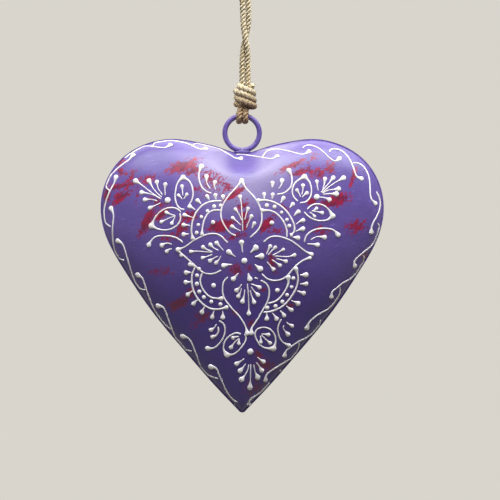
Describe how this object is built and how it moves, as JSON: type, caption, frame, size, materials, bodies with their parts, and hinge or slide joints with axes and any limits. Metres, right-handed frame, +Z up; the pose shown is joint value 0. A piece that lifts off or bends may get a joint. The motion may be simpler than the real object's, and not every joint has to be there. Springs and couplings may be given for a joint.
{
  "type": "hanging heart ornament",
  "caption": "Hollow pressed-iron heart with piped henna-style relief, a welded wire ring and a knotted jute twine to hang it by.",
  "frame": {"origin": "top of the nail that the twine's eye hangs on; the whole ornament is below it", "axes": "+Z up, the painted front faces -Y, +X to the right as the front is seen"},
  "size_m": [0.178, 0.046, 0.2881],
  "materials": {
    "painted_iron": "satin purple enamel over a red coat that shows through in brushed patches",
    "jute_twine": "raw twisted jute"
  },
  "bodies": {
    "twine": {"hanging_loop": "jute_twine"},
    "knot": {"knot_strands": "jute_twine", "knot_winding": "jute_twine", "twine_cut_end": "jute_twine"},
    "hitch": {"left_hitch_loop": "jute_twine", "right_hitch_loop": "jute_twine"},
    "heart": {"front_shell": "painted_iron", "back_shell": "painted_iron", "seam_bead": "painted_iron", "hanging_ring": "painted_iron", "ring_weld": "painted_iron"}
  },
  "joints": [
    {"name": "twine_twist", "type": "hinge", "parent": "twine", "child": "knot", "pos_m": [0, 0, -0.0773], "axis": [0, 0, 1], "range_deg": [-180, 180], "deforming": ["hanging_loop"]},
    {"name": "heart_swing", "type": "hinge", "parent": "knot", "child": "hitch", "pos_m": [0, 0, -0.09492], "axis": [1, 0, 0], "range_deg": [-60, 60], "deforming": ["left_hitch_loop", "right_hitch_loop"]},
    {"name": "heart_tilt", "type": "hinge", "parent": "hitch", "child": "heart", "pos_m": [0, 0, -0.10932], "axis": [0, 1, 0], "range_deg": [-45, 45]}
  ]
}
